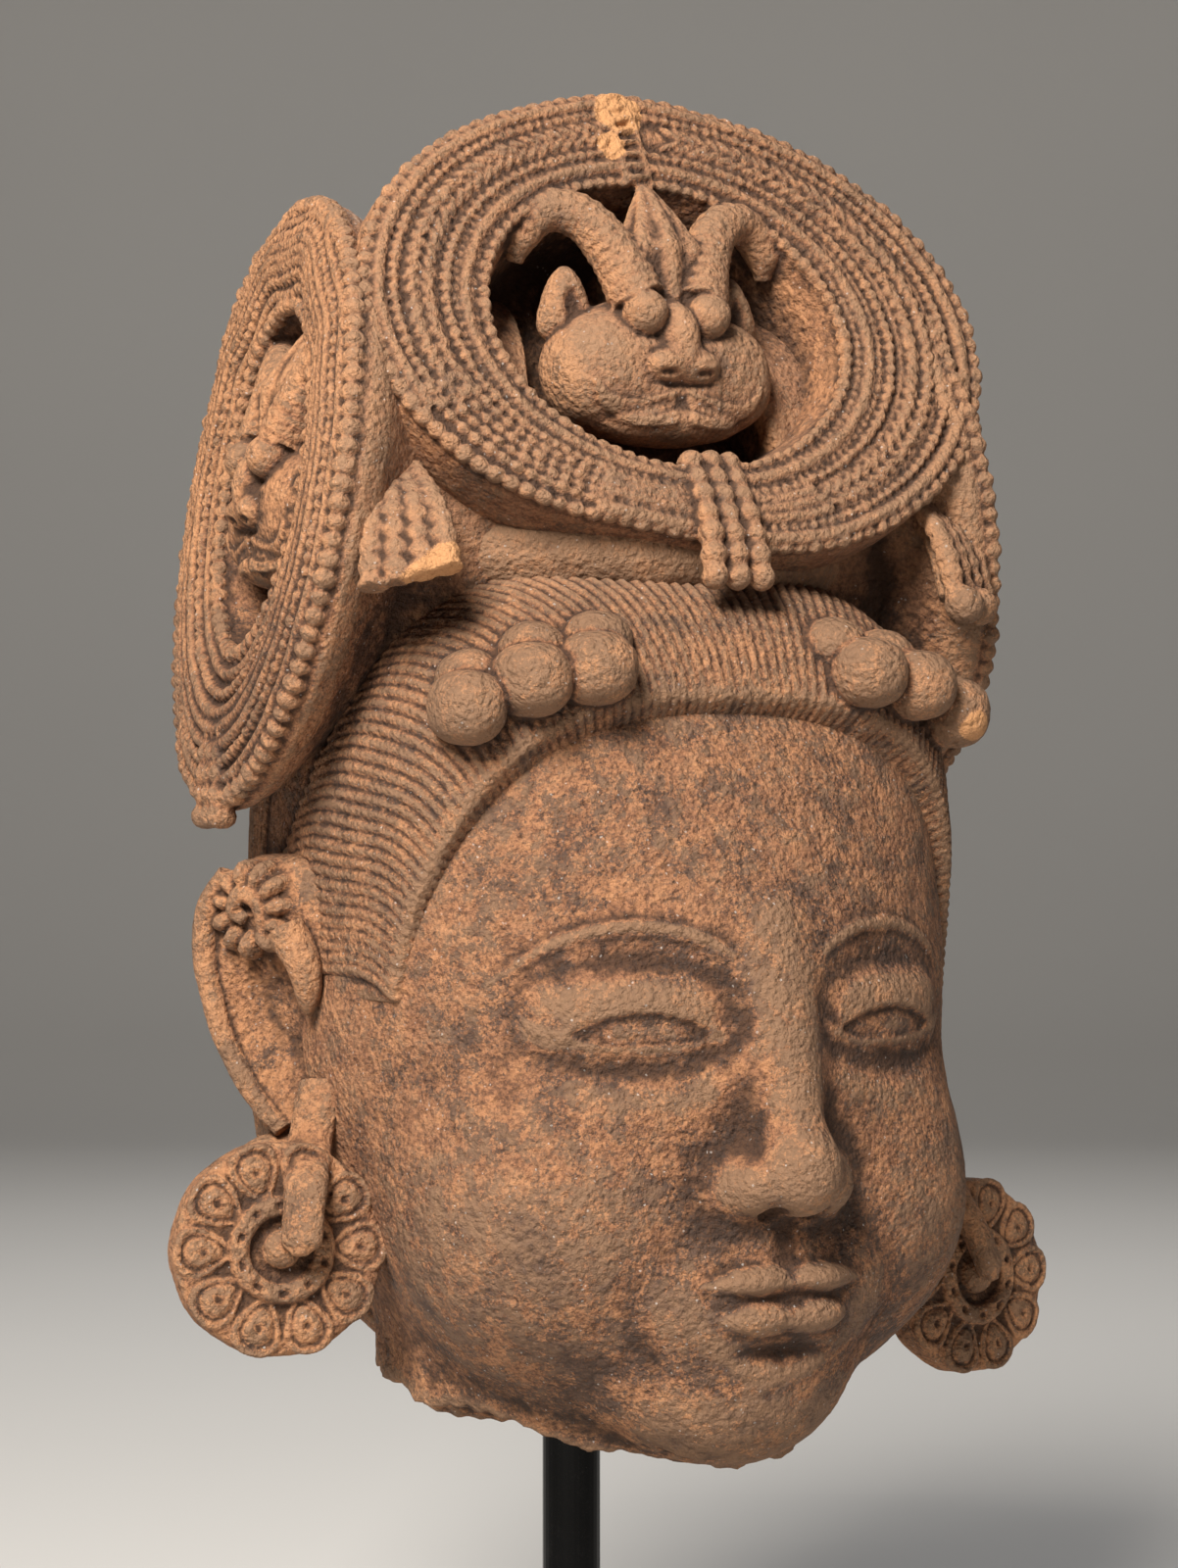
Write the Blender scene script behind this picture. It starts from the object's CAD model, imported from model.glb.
import math

import bpy
import numpy as np
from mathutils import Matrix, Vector


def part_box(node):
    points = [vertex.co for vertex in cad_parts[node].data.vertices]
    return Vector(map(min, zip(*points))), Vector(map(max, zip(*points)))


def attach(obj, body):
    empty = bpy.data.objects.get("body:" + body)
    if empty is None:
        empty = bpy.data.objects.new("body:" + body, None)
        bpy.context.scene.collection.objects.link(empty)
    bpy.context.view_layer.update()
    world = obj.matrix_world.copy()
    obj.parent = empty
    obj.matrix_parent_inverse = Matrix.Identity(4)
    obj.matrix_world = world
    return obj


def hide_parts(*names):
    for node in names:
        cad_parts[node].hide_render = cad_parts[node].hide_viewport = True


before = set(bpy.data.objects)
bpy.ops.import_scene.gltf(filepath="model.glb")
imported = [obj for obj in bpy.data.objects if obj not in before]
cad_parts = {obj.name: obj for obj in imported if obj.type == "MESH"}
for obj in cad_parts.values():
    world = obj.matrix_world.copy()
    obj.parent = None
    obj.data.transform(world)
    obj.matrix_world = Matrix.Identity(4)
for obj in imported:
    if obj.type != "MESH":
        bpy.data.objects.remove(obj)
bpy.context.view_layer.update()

# Levels of the stand, from the frame
MM = 0.001
SLIDING_GAP = 0.3
POST_IN_STONE = 70
BREAK_LEVEL = 12
STONE_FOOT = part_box("post")[1].z / MM + SLIDING_GAP - POST_IN_STONE - BREAK_LEVEL

# How finely the carving is worked
FINENESS = 1.0
FACES_KEPT = 1.0

# Rays start this far out, and take this share of each step, because the distances are only roughly true
FURTHEST = 190
CAUTION = 0.7


# Distances to a form, negative inside it
def xyz(*values):
    return np.array(values, float)


def ball(p, at, half, power=2):
    offset = p - xyz(*at)
    level = (np.abs(offset / xyz(*half)) ** power).sum(-1) ** (1 / power)
    return np.linalg.norm(offset, axis=-1) * (1 - 1 / np.maximum(level, 1e-6))


def blend(a, b, soft):
    near = np.maximum(soft - np.abs(a - b), 0) / soft
    return np.minimum(a, b) - near * near * soft / 4


def cut_away(a, b, soft):
    return -blend(-a, b, soft)


def limb(p, start, end, start_radius, end_radius):
    """A straight limb with round ends"""
    course = xyz(*end) - xyz(*start)
    share = np.clip((p - xyz(*start)) @ course / (course @ course), 0, 1)
    off = p - xyz(*start) - share[..., None] * course
    return np.linalg.norm(off, axis=-1) - start_radius - (end_radius - start_radius) * share


def mirrored(p):
    return np.abs(p) * xyz(1, 0, 0) + p * xyz(0, 1, 1)


def step(value, low, high):
    share = np.clip((value - low) / (high - low), 0, 1)
    return share * share * (3 - 2 * share)


# Shells: arrays of points and triangles, in millimetres
def closed_shell(rings):
    """Rings of points, each joined to the next, with a fan over the first and the last"""
    rows, cols = rings.shape[:2]
    points = np.concatenate([rings.reshape(-1, 3), rings[[0, -1]].mean(1)])
    start = np.arange(rows - 1)[:, None] * cols
    turn = np.arange(cols)
    after = (turn + 1) % cols
    a, b = (start + turn).ravel(), (start + after).ravel()
    c, d = b + cols, a + cols
    low, high, last = np.full(cols, rows * cols), np.full(cols, rows * cols + 1), (rows - 1) * cols
    faces = [np.stack(corners, -1) for corners in (
        (a, b, c), (a, c, d), (low, after, turn), (high, last + turn, last + after))]
    return points, np.concatenate(faces)


def skin(centre, across, down, distance, reach):
    """A shell whose points are drawn in along rays until they lie on a carved surface"""
    coarse = 5 if across > 200 else 1
    far = float(reach)
    if coarse > 1:
        rough = reached(centre, sphere_rays(across // coarse, down // coarse), distance, reach, 60, 0.3)
        widest = np.max([np.roll(rough, shift, 1) for shift in (-1, 0, 1)], 0)
        padded = np.pad(widest, ((1, 1), (0, 0)), "edge")
        widest = np.max([padded[:-2], padded[1:-1], padded[2:]], 0)
        far = np.repeat(np.repeat(widest, coarse, 0), coarse, 1) + 3
    rays = sphere_rays(*(size // coarse * coarse for size in (across, down)))
    return closed_shell(xyz(*centre) + rays * reached(centre, rays, distance, far)[..., None])


def sphere_rays(across, down):
    polar = np.pi * (np.arange(down) + 0.5)[:, None] / down
    turn = 2 * np.pi * np.arange(across) / across
    return np.stack([np.sin(polar) * np.cos(turn), np.sin(polar) * np.sin(turn),
                     np.cos(polar) * np.ones(across)], -1)


def reached(centre, rays, distance, reach, most_steps=90, close_enough=0.01):
    """How far out from a centre each ray meets a carved surface"""
    far = np.ones(rays.shape[:-1]) * reach
    moving = np.ones(far.shape, bool)
    for _ in range(most_steps):
        gap = distance(xyz(*centre) + rays[moving] * far[moving][:, None])
        far[moving] = np.maximum(far[moving] - CAUTION * gap, 0.5)
        moving[moving] = np.abs(gap) > close_enough
        if not moving.any():
            break
    return far


def lump(at, half, power=2, across=48, down=32):
    return skin(at, across, down, lambda p: ball(p, at, half, power), 3 * max(half))


def smooth_line(points, count):
    """Evenly spaced points on a smooth curve through the given ones"""
    p = xyz(*points).reshape(-1, 3)
    padded = np.concatenate([[2 * p[0] - p[1]], p, [2 * p[-1] - p[-2]]])
    t = np.linspace(0, 1, 16, endpoint=False)[:, None]
    spans = [0.5 * (2 * b + (c - a) * t + (2 * a - 5 * b + 4 * c - d) * t ** 2
                    + (3 * b - a - 3 * c + d) * t ** 3)
             for a, b, c, d in zip(padded, padded[1:], padded[2:], padded[3:])]
    dense = np.concatenate([*spans, p[-1:]])
    length = np.concatenate([[0], np.cumsum(np.linalg.norm(np.diff(dense, axis=0), axis=1))])
    at = np.linspace(0, length[-1], count)
    return np.stack([np.interp(at, length, dense[:, k]) for k in range(3)], -1)


def unit(vectors):
    return vectors / np.maximum(np.linalg.norm(vectors, axis=-1, keepdims=True), 1e-9)


def bar(points, radius, across=(1, 0, 0), flat=1, sides=16, steps=40):
    """A bar along a curve. The radius function gets each ring's share of the length and each side's angle."""
    line = smooth_line(points, steps + 1)
    tangent = unit(np.gradient(line, axis=0))
    side = unit(xyz(*across) - (tangent @ xyz(*across))[:, None] * tangent)
    rise = np.cross(tangent, side)
    share = np.linspace(0, 1, steps + 1)[:, None]
    angle = 2 * np.pi * np.arange(sides) / sides
    size = (radius(share, angle) * np.ones((steps + 1, sides)))[..., None]
    ring = np.cos(angle)[:, None] * side[:, None] + flat * np.sin(angle)[:, None] * rise[:, None]
    return closed_shell(line[:, None] + size * ring)


def spindle(radius, end):
    return lambda share, angle: radius * (end + (1 - end) * np.sin(np.pi * np.clip(share, 0.02, 0.98)) ** 0.5)


def both_sides(make):
    return [make(-1), make(1)]


# A carving's own plane: x across, y up and z out of its face
def plane(at, turn, lean):
    turn, tip = math.radians(turn), math.radians(90 - lean)
    about_z = np.array([[math.cos(turn), -math.sin(turn), 0], [math.sin(turn), math.cos(turn), 0], [0, 0, 1]])
    about_x = np.array([[1, 0, 0], [0, math.cos(tip), -math.sin(tip)], [0, math.sin(tip), math.cos(tip)]])
    return about_z @ about_x, xyz(*at)


def placed(shell, place):
    points, faces = shell
    turn, at = place
    return points @ turn.T + at, faces


def in_place(shells, place):
    return [placed(shell, place) for shell in shells]


def joined(shells):
    points = np.concatenate([p for p, _ in shells])
    starts = np.cumsum([0] + [len(p) for p, _ in shells[:-1]])
    return points, np.concatenate([f + start for (_, f), start in zip(shells, starts)])


# Blender objects from shells and back
def new_object(name, mesh):
    made = bpy.data.objects.new(name, mesh)
    bpy.context.scene.collection.objects.link(made)
    return made


def to_metres(points):
    return (points + xyz(0, 0, STONE_FOOT)) * MM


def mesh_of(name, points, faces):
    mesh = bpy.data.meshes.new(name)
    mesh.vertices.add(len(points))
    mesh.vertices.foreach_set("co", points.astype(np.float32).ravel())
    mesh.loops.add(3 * len(faces))
    mesh.loops.foreach_set("vertex_index", faces.astype(np.int32).ravel())
    mesh.polygons.add(len(faces))
    mesh.polygons.foreach_set("loop_start", np.arange(0, 3 * len(faces), 3, dtype=np.int32))
    mesh.update(calc_edges=True)
    return mesh


def read_mesh(mesh):
    points = np.zeros(3 * len(mesh.vertices), np.float32)
    mesh.vertices.foreach_get("co", points)
    mesh.calc_loop_triangles()
    faces = np.zeros(3 * len(mesh.loop_triangles), np.int32)
    mesh.loop_triangles.foreach_get("vertices", faces)
    return points.reshape(-1, 3).astype(float), faces.reshape(-1, 3)


def applied(obj):
    """The object's mesh with its modifiers worked in, and the modifiers taken off"""
    bpy.context.view_layer.update()
    evaluated = obj.evaluated_get(bpy.context.evaluated_depsgraph_get())
    mesh = bpy.data.meshes.new_from_object(evaluated)
    obj.modifiers.clear()
    old = obj.data
    obj.data = mesh
    bpy.data.meshes.remove(old)
    return mesh


# Node trees
class Tree:
    """Adds nodes to a tree. Each input, by name or number, gets a value or another node's output."""

    def __init__(self, tree):
        self.tree = tree

    def add(self, kind, *named, out=0, **inputs):
        node = self.tree.nodes.new(kind)
        for name, value in named:
            if isinstance(name, str) and hasattr(node, name):
                setattr(node, name, value)
            else:
                self.feed(node, name, value)
        for name, value in inputs.items():
            self.feed(node, name.replace("_", " "), value)
        return node.outputs[out] if node.outputs else node

    def feed(self, node, name, value):
        socket = node.inputs[name]
        if isinstance(value, bpy.types.NodeSocket):
            self.tree.links.new(value, socket)
        else:
            socket.default_value = value

    def math(self, operation, a, b, clamp=False):
        return self.add("ShaderNodeMath", ("operation", operation), ("use_clamp", clamp), (0, a), (1, b))


def geometry_tree(name, sizes):
    """A Geometry Nodes tree with a line of named sizes, and its first and last nodes"""
    tree = bpy.data.node_groups.new(name, "GeometryNodeTree")
    tree.interface.new_socket("Geometry", in_out="INPUT", socket_type="NodeSocketGeometry")
    tree.interface.new_socket("Geometry", in_out="OUTPUT", socket_type="NodeSocketGeometry")
    for size, value in sizes.items():
        kind = "NodeSocketInt" if isinstance(value, int) else "NodeSocketFloat"
        tree.interface.new_socket(size, in_out="INPUT", socket_type=kind).default_value = value
    tree.interface.new_socket("Material", in_out="INPUT", socket_type="NodeSocketMaterial")
    return Tree(tree), tree.nodes.new("NodeGroupInput").outputs


def close_tree(work, given, instances):
    real = work.add("GeometryNodeRealizeInstances", Geometry=instances)
    finished = work.add("GeometryNodeSetMaterial", Geometry=real, Material=given["Material"])
    work.add("NodeGroupOutput", ("Geometry", finished))
    return work.tree


def bead_row_tree():
    """Beads threaded along lines in the XY plane, as thick as the lines' "thick" attribute says"""
    work, given = geometry_tree("bead_row", {
        "Spacing": 0.004, "Length": 0.004, "Width": 0.004, "Height": 0.003, "Lean": 0.0, "Unevenness": 0.1,
        "Seed": 1})
    line = work.add("GeometryNodeMeshToCurve", Mesh=given["Geometry"])
    points = work.add("GeometryNodeResampleCurve", ("mode", "LENGTH"), Curve=line, Length=given["Spacing"])
    tangent = work.add("GeometryNodeInputTangent")
    aligned = work.add("FunctionNodeAlignRotationToVector", ("axis", "X"), ("pivot_axis", "Z"),
                       Vector=tangent)
    lean = work.add("ShaderNodeCombineXYZ", Z=given["Lean"])
    leaning = work.add("FunctionNodeRotateRotation", ("rotation_space", "LOCAL"), ("Rotation", aligned),
                       ("Rotate By", work.add("FunctionNodeEulerToRotation", Euler=lean)))
    halves = [work.math("MULTIPLY", given[size], 0.5) for size in ("Length", "Width", "Height")]
    thick = work.add("GeometryNodeInputNamedAttribute", Name="thick")
    size = work.add("ShaderNodeCombineXYZ", X=halves[0], Y=work.math("MULTIPLY", halves[1], thick),
                    Z=work.math("MULTIPLY", halves[2], thick))
    vary = work.add("FunctionNodeRandomValue", ("data_type", "FLOAT"), ("Seed", given["Seed"]),
                    (2, work.math("SUBTRACT", 1.0, given["Unevenness"])),
                    (3, work.math("ADD", 1.0, given["Unevenness"])), out=1)
    scale = work.add("ShaderNodeVectorMath", ("operation", "SCALE"), (0, size), ("Scale", vary))
    bead = work.add("GeometryNodeMeshIcoSphere", Radius=1.0, Subdivisions=2)
    beads = work.add("GeometryNodeInstanceOnPoints", Points=points, Instance=bead, Rotation=leaning,
                     Scale=scale)
    return close_tree(work, given, beads)


def rib_tree():
    """A round rib along each line, as thick at each point as its "thick" attribute says"""
    work, given = geometry_tree("rib", {"Radius": 0.001, "Sides": 8})
    thick = work.add("GeometryNodeInputNamedAttribute", Name="thick")
    line = work.add("GeometryNodeMeshToCurve", Mesh=given["Geometry"])
    sized = work.add("GeometryNodeSetCurveRadius", Curve=line, Radius=thick)
    section = work.add("GeometryNodeCurvePrimitiveCircle", Resolution=given["Sides"], Radius=given["Radius"])
    rib = work.add("GeometryNodeCurveToMesh", ("Curve", sized), ("Profile Curve", section),
                   ("Fill Caps", True))
    return close_tree(work, given, rib)


def petal_ring_tree():
    """Petals round a disc in the XY plane: each a domed leaf in a raised outline"""
    work, given = geometry_tree("petal_ring", {
        "Petals": 10, "Ring": 0.02, "Reach": 0.012, "Width": 0.01, "Dome": 0.002, "Outline": 0.0008})
    outline = work.add("GeometryNodeCurvePrimitiveCircle", Resolution=20, Radius=1.0)
    halves = [work.math("MULTIPLY", given[size], 0.5) for size in ("Reach", "Width")]
    loop = work.add("GeometryNodeTransform", Geometry=outline,
                    Scale=work.add("ShaderNodeCombineXYZ", X=halves[0], Y=halves[1], Z=1.0))
    wire = work.add("GeometryNodeCurvePrimitiveCircle", Resolution=8, Radius=given["Outline"])
    raised = work.add("GeometryNodeCurveToMesh", ("Curve", loop), ("Profile Curve", wire))
    leaf = work.add("GeometryNodeTransform", Geometry=work.add("GeometryNodeMeshIcoSphere", Subdivisions=3),
                    Scale=work.add("ShaderNodeCombineXYZ", X=work.math("MULTIPLY", halves[0], 0.74),
                                   Y=work.math("MULTIPLY", halves[1], 0.74), Z=given["Dome"]))
    joined_petal = work.add("GeometryNodeJoinGeometry")
    join = joined_petal.node
    work.tree.links.new(raised, join.inputs[0])
    work.tree.links.new(leaf, join.inputs[0])
    ring = work.add("GeometryNodeMeshCircle", Vertices=given["Petals"], Radius=given["Ring"])
    place = work.add("GeometryNodeInputPosition")
    parts = work.add("ShaderNodeSeparateXYZ", Vector=place).node.outputs
    share = work.math("DIVIDE", parts[0], halves[0])
    narrowed = work.math("MULTIPLY", parts[1], work.math("ADD", 0.86, work.math("MULTIPLY", share, 0.34)))
    petal = work.add("GeometryNodeSetPosition", Geometry=joined_petal, Position=work.add(
        "ShaderNodeCombineXYZ", X=parts[0], Y=narrowed, Z=parts[2]))
    outward = work.add("FunctionNodeAlignRotationToVector", ("axis", "X"), ("pivot_axis", "Z"), Vector=place)
    petals = work.add("GeometryNodeInstanceOnPoints", Points=ring, Instance=petal, Rotation=outward)
    return close_tree(work, given, petals)


def grown(tree, lines, closed=False, **sizes):
    """What a tree makes of some lines, as a shell. A fourth value of a point is its thickness."""
    points = np.concatenate(lines) if lines else np.zeros((1, 3))
    thick = points[:, 3] if points.shape[1] == 4 else np.ones(len(points))
    mesh = bpy.data.meshes.new(tree.name)
    edges, start = [], 0
    for line in lines:
        count = len(line)
        edges += [(start + i, start + (i + 1) % count) for i in range(count if closed else count - 1)]
        start += count
    mesh.from_pydata(points[:, :3] * MM, edges, [])
    add_value(mesh, "thick", thick)
    carrier = new_object(tree.name, mesh)
    modifier = carrier.modifiers.new(tree.name, "NODES")
    modifier.node_group = tree
    sockets = {item.name: item.identifier for item in tree.interface.items_tree if item.in_out == "INPUT"}
    for name, value in sizes.items():
        modifier[sockets[name]] = value
    modifier[sockets["Material"]] = sandstone
    shell_points, faces = read_mesh(applied(carrier))
    bpy.data.objects.remove(carrier)
    return shell_points / MM, faces


# The head below the hairline
HAIRLINE, CHIN_LINE, FACE_FRONT, EYE_WIDTH = 212, 19, -113, 36
THIRD = (HAIRLINE - CHIN_LINE) / 3
BROW_LINE = HAIRLINE - THIRD
NOSE_LINE = CHIN_LINE + THIRD
MOUTH_LINE = NOSE_LINE - THIRD / 3
EYE_LINE = BROW_LINE - THIRD / 4
NAPE, NAPE_TOP = 12, 75


def on_face(x, forward, up, line):
    return (x, FACE_FRONT - forward, line + up)


def broken_level(p):
    """The rough sloping face that the neck is broken off at"""
    x, y = p[..., 0], p[..., 1]
    slope = np.maximum(0.1 * (y + 75), 0) + 0.16 * np.abs(x - 18)
    rough = 2.2 * np.sin(0.13 * x + 1.7) * np.cos(0.11 * y) + 1.4 * np.sin(0.29 * y + 0.21 * x)
    fine = 0.7 * np.sin(0.7 * x + 0.4 * y) * np.sin(0.9 * y - 0.3 * x)
    return BREAK_LEVEL + np.maximum(slope + rough, 0) + fine


def beside_eye(p):
    """Points as seen from the nearer eye, which is turned out with the face: across, inward and up"""
    offset = mirrored(p) - xyz(*on_face(EYE_WIDTH, -6.5, 0, EYE_LINE))
    turn = math.radians(19)
    x, y = offset[..., 0], offset[..., 1]
    return np.stack([math.cos(turn) * x + math.sin(turn) * y, math.cos(turn) * y - math.sin(turn) * x,
                     offset[..., 2]], -1)


def bare_face_distance(p):
    m = mirrored(p)
    d = ball(m, (0, -25, 122), (87, 90, 104))
    d = blend(d, ball(m, (0, -40, 163), (80, 54, 66), 2.6), 14)
    d = blend(d, ball(m, (0, -50, 68), (66, 56, 52)), 16)
    d = blend(d, ball(m, (40, -66, 82), (38, 40, 40)), 16)
    d = blend(d, ball(m, (0, -76, 62), (36, 33, 34)), 18)
    d = blend(d, ball(m, (0, -88, 35), (25, 19, 17)), 20)
    return cut_away(d, ball(beside_eye(p), (0, -3, 1), (26, 8.5, 13.5)), 12)


def neck_distance(p):
    round_ = np.hypot(p[..., 0] / 61, (p[..., 1] + 16) / 60)
    return np.maximum((round_ - 1) * 61, p[..., 2] - 74)


def eye_distances(p):
    """The globe of a lowered eye, and the lids that part along an almond line"""
    at = beside_eye(p)
    bend, z = (at[..., 0] / 21.5) ** 2, at[..., 2]
    upper = np.maximum(ball(at, (0, 12.8, 1), (27.5, 14.5, 12.5), 2.4), 1.8 - 6.5 * bend - z)
    lower = np.maximum(ball(at, (0, 12.6, -1), (27.5, 13.5, 12), 2.4), z + 7 - 2.4 * bend)
    return ball(at, (0, 12.4, -0.5), (26, 12.6, 12), 2.4), upper, lower


def nose_distance(p):
    m = mirrored(p)
    d = limb(m, (0, -105.5, 150), (0, -121, 98), 6, 8.2)
    d = blend(d, ball(m, on_face(0, 9, 8.5, NOSE_LINE), (10, 10.4, 9)), 9)
    return blend(d, ball(m, on_face(11, 2.5, 6.8, NOSE_LINE), (6.6, 9.5, 6.8)), 5)


def head_distance(p):
    m = mirrored(p)
    behind_neck = np.minimum(p[..., 1] - NAPE, 4 * (NAPE_TOP - p[..., 2]))
    d = np.maximum(bare_face_distance(p), behind_neck)
    d = blend(d, neck_distance(p), 8)
    globe, upper, lower = eye_distances(p)
    d = blend(blend(d, upper, 5), lower, 5)
    d = blend(d, globe, 0.8)
    d = blend(d, nose_distance(p), 11)
    d = cut_away(d, ball(m, on_face(6.2, 7, -0.5, NOSE_LINE), (3.2, 6, 3)), 1.5)
    d = blend(d, ball(m, on_face(0, -10, -1, MOUTH_LINE), (29, 12, 16)), 12)
    d = cut_away(d, ball(m, on_face(0, 6, 11.5, MOUTH_LINE), (3, 4, 6)), 4)
    d = cut_away(d, ball(m, on_face(0, 5, -14.5, MOUTH_LINE), (14, 7, 3)), 6)
    for side in (-1, 1):
        x, y, z = ring_centre(side)
        d = blend(d, ball(p, (side * 86, y + 28, z + 4), (25, 15, 24)), 6)
    return np.maximum(d, broken_level(p) - p[..., 2])


def lips():
    def upper(p):
        m = mirrored(p)
        bow = p + np.stack([0 * p[..., 0], 0 * p[..., 0], 0.085 * np.abs(p[..., 0]) + 1.6 * np.exp(
            -(p[..., 0] / 3.2) ** 2) - 1.2], -1)
        d = ball(bow, on_face(0, -8, 4.2, MOUTH_LINE), (28, 14, 5))
        return blend(d, ball(m, on_face(9, 0, 4.4, MOUTH_LINE), (9, 7.4, 4)), 4)

    def lower(p):
        m = mirrored(p)
        d = ball(p, on_face(0, -8, -5, MOUTH_LINE), (23, 14, 5.6))
        return blend(d, ball(m, on_face(8, -1, -4.8, MOUTH_LINE), (9, 7.2, 5)), 4)
    return [skin(on_face(0, -8, 4, MOUTH_LINE), 140, 70, upper, 60),
            skin(on_face(0, -8, -5, MOUTH_LINE), 140, 70, lower, 60)]


def face_surface(points, outward):
    """Points moved along the view of the face until they lie on the bare face"""
    at = xyz(*points).reshape(-1, 3)
    start = at.copy()
    start[:, 1] = -180
    forward = np.tile(xyz(0, 1, 0), (len(at), 1))
    far = np.zeros(len(at))
    for _ in range(60):
        far += CAUTION * bare_face_distance(start + forward * far[:, None])
    start[:, 1] += far - outward
    return start


def brow(side):
    course = [(6, -6), (16, 1.5), (28, 6), (42, 6), (56, 1), (67, -8)]
    line = face_surface([on_face(side * x, 0, up, BROW_LINE) for x, up in course], -0.5)
    return bar(line, spindle(2.1, 0.3), across=(0, 0, 1), flat=0.8, sides=14, steps=70)


# The ears, with their curled rosettes, long lobes and disc ear rings
def ring_centre(side):
    return (-103, -34, 71) if side < 0 else (109, -32, 51)


def ear(side):
    """An ear on its own plane: a leaning shell with a hollow, a thin rim behind and the curl's tongue"""
    def at(forward, up, out):
        return (-side * forward, up, out)

    def shell(p):
        drop = np.clip((-8 - p[..., 1]) / 50, 0, 1.3)
        q = np.stack([(p[..., 0] + side * (3 + 13 * drop ** 2)) / (1 - 0.56 * np.minimum(drop, 1) ** 2),
                      p[..., 1] + 27, p[..., 2] + 9], -1)
        d = ball(q, (0, 0, 0), (22, 41, 13), 3)
        return 0.4 * cut_away(d, ball(q, at(1, -3, 16), (16.5, 29, 13), 2.4), 3)
    rim = bar([at(-8, 9, 1), at(-15, 0, 2), at(-16, -14, 3), at(-11.5, -32, 3), at(-3, -47, 3),
               at(7, -58, 2)], lambda share, angle: 3.7 - 0.9 * share, sides=14, steps=60)
    tongue = bar([at(13, -4, 5), at(19, -15, 5), at(18, -27, 3)],
                 lambda share, angle: 5.2 * np.sqrt(np.maximum(1 - share ** 2, 0.03)), sides=18)
    crescent = bar([at(11, -50, 0), at(17, -53, 3), at(24, -50, 2)], spindle(2.8, 0.4), sides=14)
    x, y, z = ring_centre(side)
    lobe_course = [(side * 86, -24, 112), (side * 92, -29, 96), (x - side * 4, y - 9, z + 16), (x, y - 15, z)]
    lobe = bar(lobe_course, lambda share, angle: (6.6 - 0.8 * share) * (1 - 0.6 * step(share, 0.94, 1)),
               across=(side * 0.5, 0.86, 0), flat=0.66, sides=24, steps=60)
    place = ear_place(side)
    return [placed(skin(at(3, -27, -9), 150, 120, shell, 70), place),
            *in_place([rim, tongue, crescent, *rosette()], place), lobe]


def ear_place(side):
    return plane((side * 97, -7, 157), side * 62, -4)


def rosette():
    """A curl of ribs round a smooth coil, over the top of the ear"""
    turns = np.linspace(-1.0, 2 * np.pi - 1.7, 60)
    ring = np.stack([9.2 * np.cos(turns), 9.2 * np.sin(turns), 0 * turns], -1)
    ribs = grown(bead_row, [ring], Spacing=0.0049, Length=0.0056, Width=0.0092, Height=0.013,
                 Unevenness=0.05, Seed=11)
    coil = bar([(5, -7, 3), (4, 2, 4), (-1, 4.5, 5), (-4, 0.5, 5), (-1, -2.5, 4)], spindle(2.6, 0.6),
               steps=30)
    return [ribs, coil, lump((0, 0, -4), (12.5, 12.5, 7)), lump((0, 2, -10), (10, 10, 12))]


PETALS = 10
RING_RADIUS, RING_THICK = 27.4, 13
PIT_RADIUS, PIT_DEPTH = 1.7, 1.6


def ear_ring(side):
    rows = np.array([[0, -0.5], [0.5, -0.5], [0.93, -0.5], [0.985, -0.4], [1, -0.3], [1, 0.2], [0.97, 0.3],
                     [0.9, 0.36], [0.7, 0.33], [0.52, 0.33], [0.49, 0.5], [0.45, 0.57], [0.37, 0.57],
                     [0.32, 0.5], [0.29, 0.3], [0, 0.3]])
    share, height = (np.interp(np.linspace(0, 1, 90), np.linspace(0, 1, len(rows)), rows[:, k])
                     for k in range(2))
    turn = 2 * np.pi * np.arange(160) / 160
    stretch = 1 + 0.008 * np.cos(PETALS * turn) * (share > 0.8)[:, None]
    reach = RING_RADIUS * share[:, None] * stretch
    disc = closed_shell(np.stack([reach * np.cos(turn), reach * np.sin(turn),
                                  RING_THICK * height[:, None] * np.ones(160)], -1))
    petals = grown(petal_ring, [], Petals=PETALS, Ring=0.0203, Reach=0.0135, Width=0.0122, Dome=0.002,
                   Outline=0.001)
    raised = petals[0] + xyz(0, 0, RING_THICK * 0.34), petals[1]
    knob = lump((0, 0, 4), (5, 5, 5))
    return in_place([disc, raised, knob], ring_place(side))


def ring_place(side):
    return plane(ring_centre(side), side * 10, 4)


def ring_pits(side):
    """Where the ear ring is drilled: once in each petal and ten times in its collar"""
    pits = []
    for k in range(PETALS):
        for reach, height, shift in ((20.5, 5.6, 0), (11.2, 7.4, 0.5)):
            turn = 2 * np.pi * (k + shift) / PETALS
            pits.append((reach * math.cos(turn), reach * math.sin(turn), height))
    turn, at = ring_place(side)
    return xyz(*pits).reshape(-1, 3) @ turn.T + at


# The hair: a cap that stands proud of the forehead, combed in fine strands that end in knobs
HAIR_CENTRE = (0, -14, 148)
OPENING_MIDDLE, OPENING_WIDE, OPENING_HIGH, OPENING_BACK, SIDEBURN_END = 110, 82, 102, 8, 134
HAIR_HALF, HAIR_POWER = (86, 81, 101), 3.4
STRAND_PITCH = 2.75
STRAND_RADIUS, COMBED_RADIUS = 1.5, 1.7
EDGE_SUNK, STRAND_SUNK = 3, 0.05


def hair_distance(p):
    return blend(ball(p, HAIR_CENTRE, HAIR_HALF, HAIR_POWER), ball(p, (0, 14, 108), (80, 60, 88)), 10)


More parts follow.
